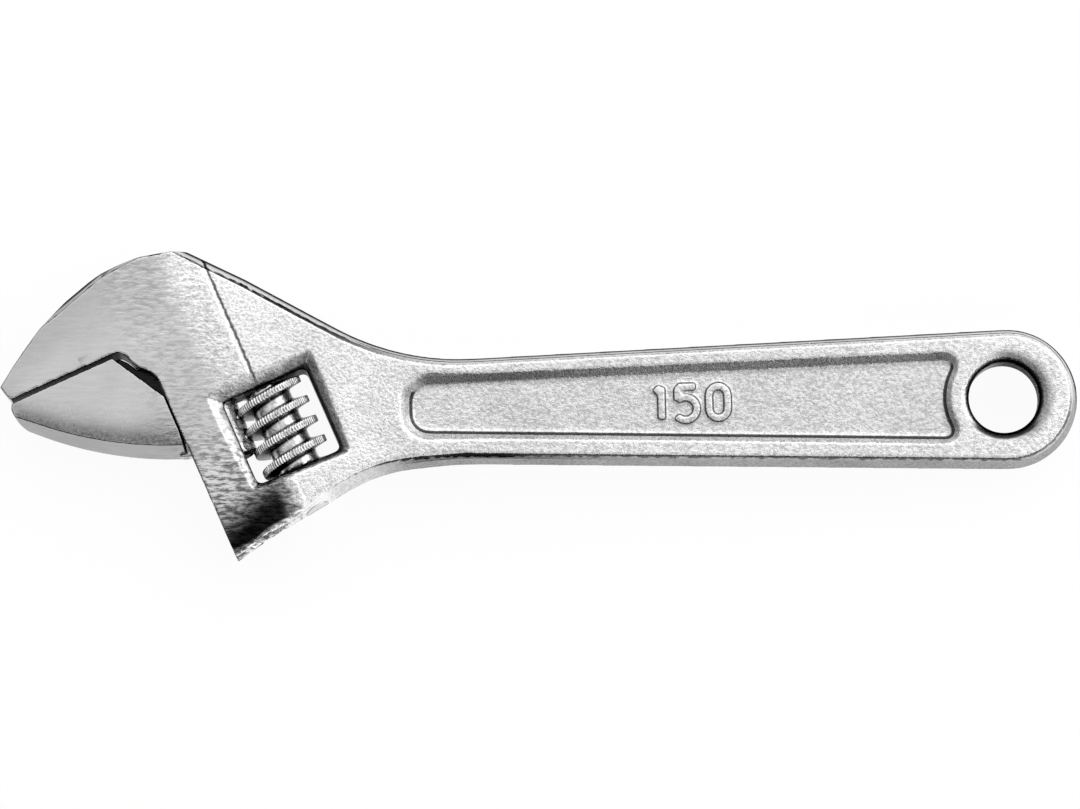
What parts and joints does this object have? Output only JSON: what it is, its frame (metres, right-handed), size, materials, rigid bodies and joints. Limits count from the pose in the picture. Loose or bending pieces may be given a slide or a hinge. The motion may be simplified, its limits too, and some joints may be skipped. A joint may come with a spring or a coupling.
{
  "type": "adjustable wrench",
  "caption": "Bright plated adjustable wrench with an angled head, a fixed jaw, a sliding jaw on a rack, a knurled thumb worm, a panelled handle and a hanging hole.",
  "frame": {"origin": "centre of the hanging hole in the handle, on the parting plane half way through the thickness", "axes": "+X along the handle from the head towards the hole, +Y across it towards the side of the fixed jaw, +Z out of the upper face along the hole"},
  "size_m": [0.1498, 0.0434, 0.011],
  "materials": {
    "plated_forging": "bright nickel-chrome plating over a forged surface, satin where the jaw is ground",
    "plated_jaw": "bright plating over ground faces, satin",
    "plated_worm": "bright plating over a turned and knurled thread",
    "pin_steel": "turned, slotted",
    "spring_steel": "drawn wire"
  },
  "bodies": {
    "body": {"wrench_body": "plated_forging", "worm_pin": "pin_steel", "worm_spring": "spring_steel"},
    "jaw": {"movable_jaw": "plated_jaw"},
    "worm": {"worm": "plated_worm"}
  },
  "joints": [
    {"name": "worm_spin", "type": "hinge", "parent": "body", "child": "worm", "pos_m": [-0.1004, -0.0018, 0], "axis": [-0.3827, 0.9239, 0], "range_deg": [-55, 2233]},
    {"name": "jaw_slide", "type": "slide", "parent": "body", "child": "jaw", "axis": [0.3827, -0.9239, 0], "range_m": [-0.00045, 0.0186]}
  ],
  "couplings": [
    {"joint": "worm_spin", "follows": "jaw_slide", "rad_per_m": 2094.4}
  ]
}
